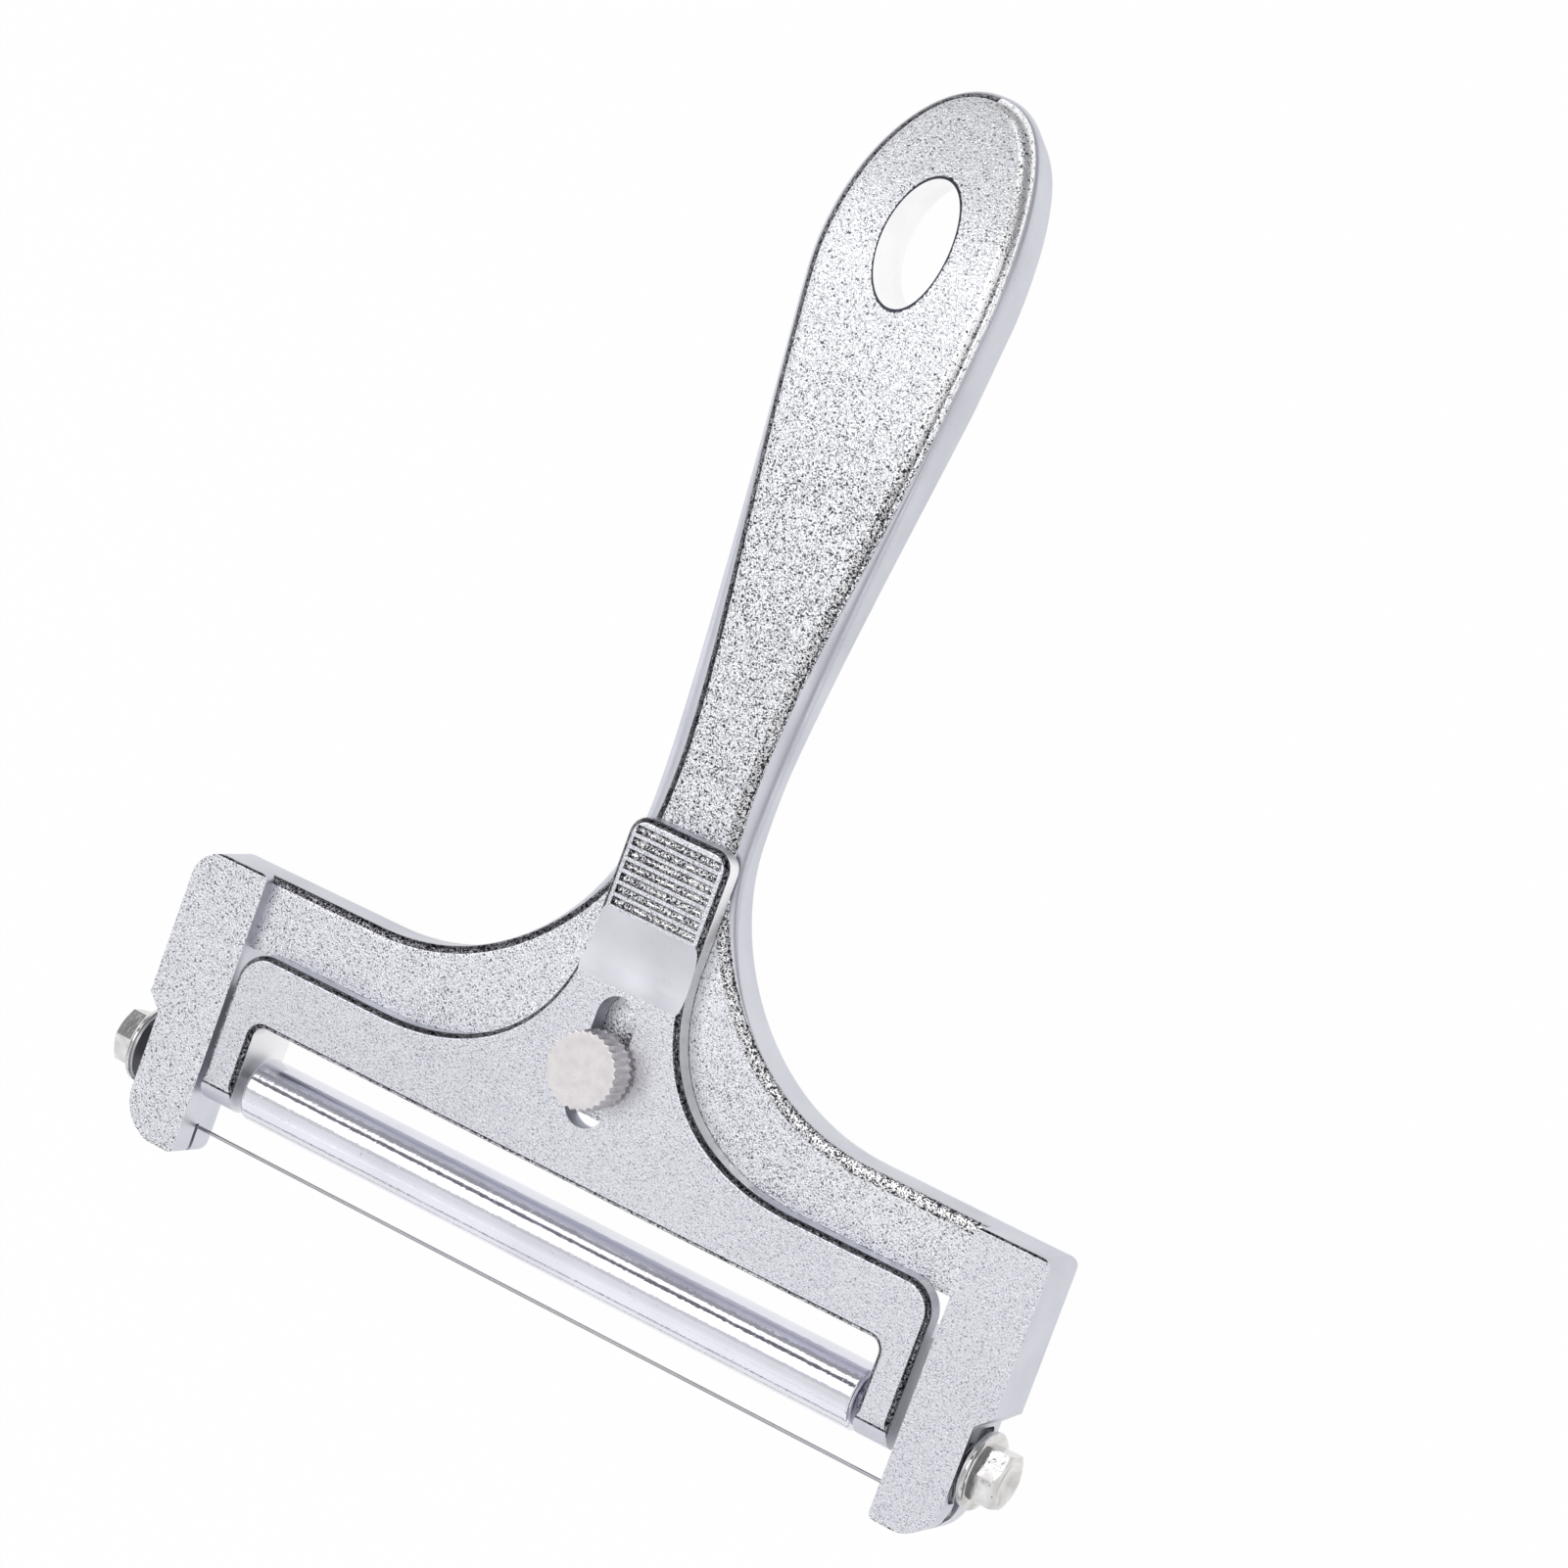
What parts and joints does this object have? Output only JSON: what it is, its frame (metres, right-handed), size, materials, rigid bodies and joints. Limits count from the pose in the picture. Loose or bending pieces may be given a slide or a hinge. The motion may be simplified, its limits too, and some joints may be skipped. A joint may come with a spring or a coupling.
{
  "type": "cheese slicer",
  "caption": "Wire cheese slicer: a cast handle with two arms holds a tensioned wire, and a sliding roller bracket with a thumb screw sets the slice.",
  "frame": {"origin": "centre of the bounding box in plan, at its lowest point, with the slicer lying on its back", "axes": "+X along the cutting wire to the right seen from the front, +Y from the wire to the handle's end, +Z out of the front face that carries the thumb screw"},
  "size_m": [0.1384, 0.1666, 0.0232],
  "materials": {
    "plated_casting": "fine-grained bright plating with smooth satin side walls",
    "plated_bracket": "fine-grained bright plating",
    "polished_roller": "mirror polish",
    "axle_steel": "plain turned steel",
    "knob_plating": "satin plating with polished flutes",
    "wire_steel": "drawn stainless wire",
    "screw_plating": "bright plating",
    "washer_steel": "pressed steel"
  },
  "bodies": {
    "casting": {"frame": "plated_casting", "cutting_wire": "wire_steel"},
    "bracket": {"roller_bracket": "plated_bracket", "roller_axle": "axle_steel"},
    "roller": {"roller": "polished_roller"},
    "thumb_screw": {"thumb_screw": "knob_plating"},
    "left_screw": {"tension_screw_left": "screw_plating", "washer_left": "washer_steel"},
    "right_screw": {"tension_screw_right": "screw_plating", "washer_right": "washer_steel"}
  },
  "joints": [
    {"name": "bracket_slide", "type": "slide", "parent": "casting", "child": "bracket", "axis": [0, 1, 0], "range_m": [-0.0035, 0.0052]},
    {"name": "roller_spin", "type": "hinge", "parent": "bracket", "child": "roller", "pos_m": [0, -0.07102, 0.01328], "axis": [1, 0, 0], "continuous": true},
    {"name": "thumb_screw_turn", "type": "hinge", "parent": "casting", "child": "thumb_screw", "pos_m": [0, -0.04722, 0.01328], "axis": [0, 0, 1], "range_deg": [0, 720]},
    {"name": "left_screw_turn", "type": "hinge", "parent": "casting", "child": "left_screw", "pos_m": [-0.066, -0.07242, 0.01328], "axis": [-1, 0, 0], "range_deg": [0, 360]},
    {"name": "right_screw_turn", "type": "hinge", "parent": "casting", "child": "right_screw", "pos_m": [0.066, -0.07242, 0.01328], "axis": [1, 0, 0], "range_deg": [0, 360]}
  ]
}
